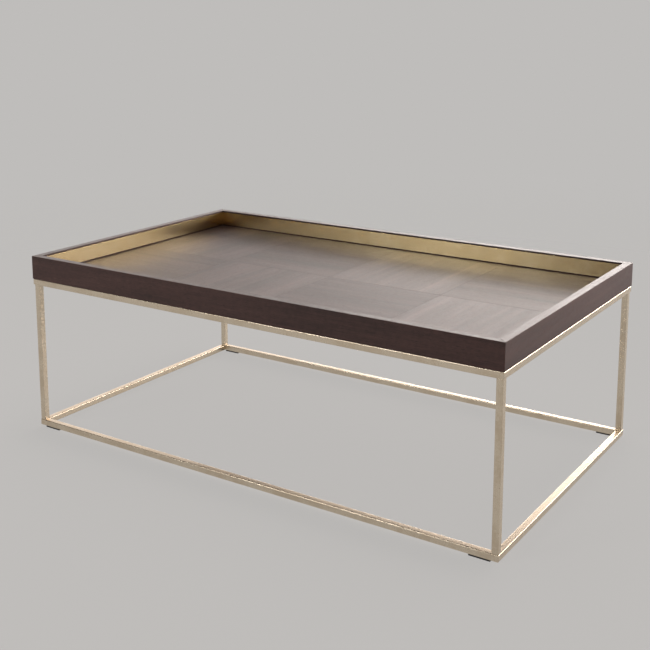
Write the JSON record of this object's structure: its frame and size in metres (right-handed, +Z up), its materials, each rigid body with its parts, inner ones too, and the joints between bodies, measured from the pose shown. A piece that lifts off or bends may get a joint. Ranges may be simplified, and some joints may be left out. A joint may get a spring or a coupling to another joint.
{
  "type": "tray table",
  "caption": "Low rectangular table: a stained wood tray with a raised brass-lined rim on an open base of slim square brass tube.",
  "frame": {"origin": "on the ground under the middle of the table, at the underside of the four pads", "axes": "+X along the long side of the tray, +Y across it from the front long side to the back one, +Z up"},
  "size_m": [1.2, 0.71, 0.42],
  "materials": {
    "wall_veneer": "dark aubergine-brown stained veneer, satin lacquer",
    "floor_veneer": "dark taupe-brown stained veneer leaves laid with alternating grain, satin lacquer",
    "core_board": "raw fibreboard",
    "backing_sheet": "dark stained balancing veneer, matt",
    "band_brass": "satin brass band, brushed along its length",
    "tube_brass": "brushed champagne brass",
    "tab_steel": "mill finish",
    "screw_steel": "zinc plated",
    "pad_rubber": "matt black"
  },
  "bodies": {
    "root": {"backing_sheet": "backing_sheet", "bottom_rail_back": "tube_brass", "bottom_rail_front": "tube_brass", "bottom_rail_left": "tube_brass", "bottom_rail_right": "tube_brass", "core_board": "core_board", "leaf_back_1": "floor_veneer", "leaf_back_2": "floor_veneer", "leaf_back_3": "floor_veneer", "leaf_back_4": "floor_veneer", "leaf_front_1": "floor_veneer", "leaf_front_2": "floor_veneer", "leaf_front_3": "floor_veneer", "leaf_front_4": "floor_veneer", "leg_back_left": "tube_brass", "leg_back_right": "tube_brass", "leg_front_left": "tube_brass", "leg_front_right": "tube_brass", "lining_back": "band_brass", "lining_front": "band_brass", "lining_left": "band_brass", "lining_right": "band_brass", "pad_back_left": "pad_rubber", "pad_back_right": "pad_rubber", "pad_front_left": "pad_rubber", "pad_front_right": "pad_rubber", "screw_back_left_1": "screw_steel", "screw_back_left_2": "screw_steel", "screw_back_right_1": "screw_steel", "screw_back_right_2": "screw_steel", "screw_front_left_1": "screw_steel", "screw_front_left_2": "screw_steel", "screw_front_right_1": "screw_steel", "screw_front_right_2": "screw_steel", "tab_back_left": "tab_steel", "tab_back_right": "tab_steel", "tab_front_left": "tab_steel", "tab_front_right": "tab_steel", "top_rail_back": "tube_brass", "top_rail_front": "tube_brass", "top_rail_left": "tube_brass", "top_rail_right": "tube_brass", "wall_back": "wall_veneer", "wall_front": "wall_veneer", "wall_left": "wall_veneer", "wall_right": "wall_veneer"}
  },
  "joints": []
}
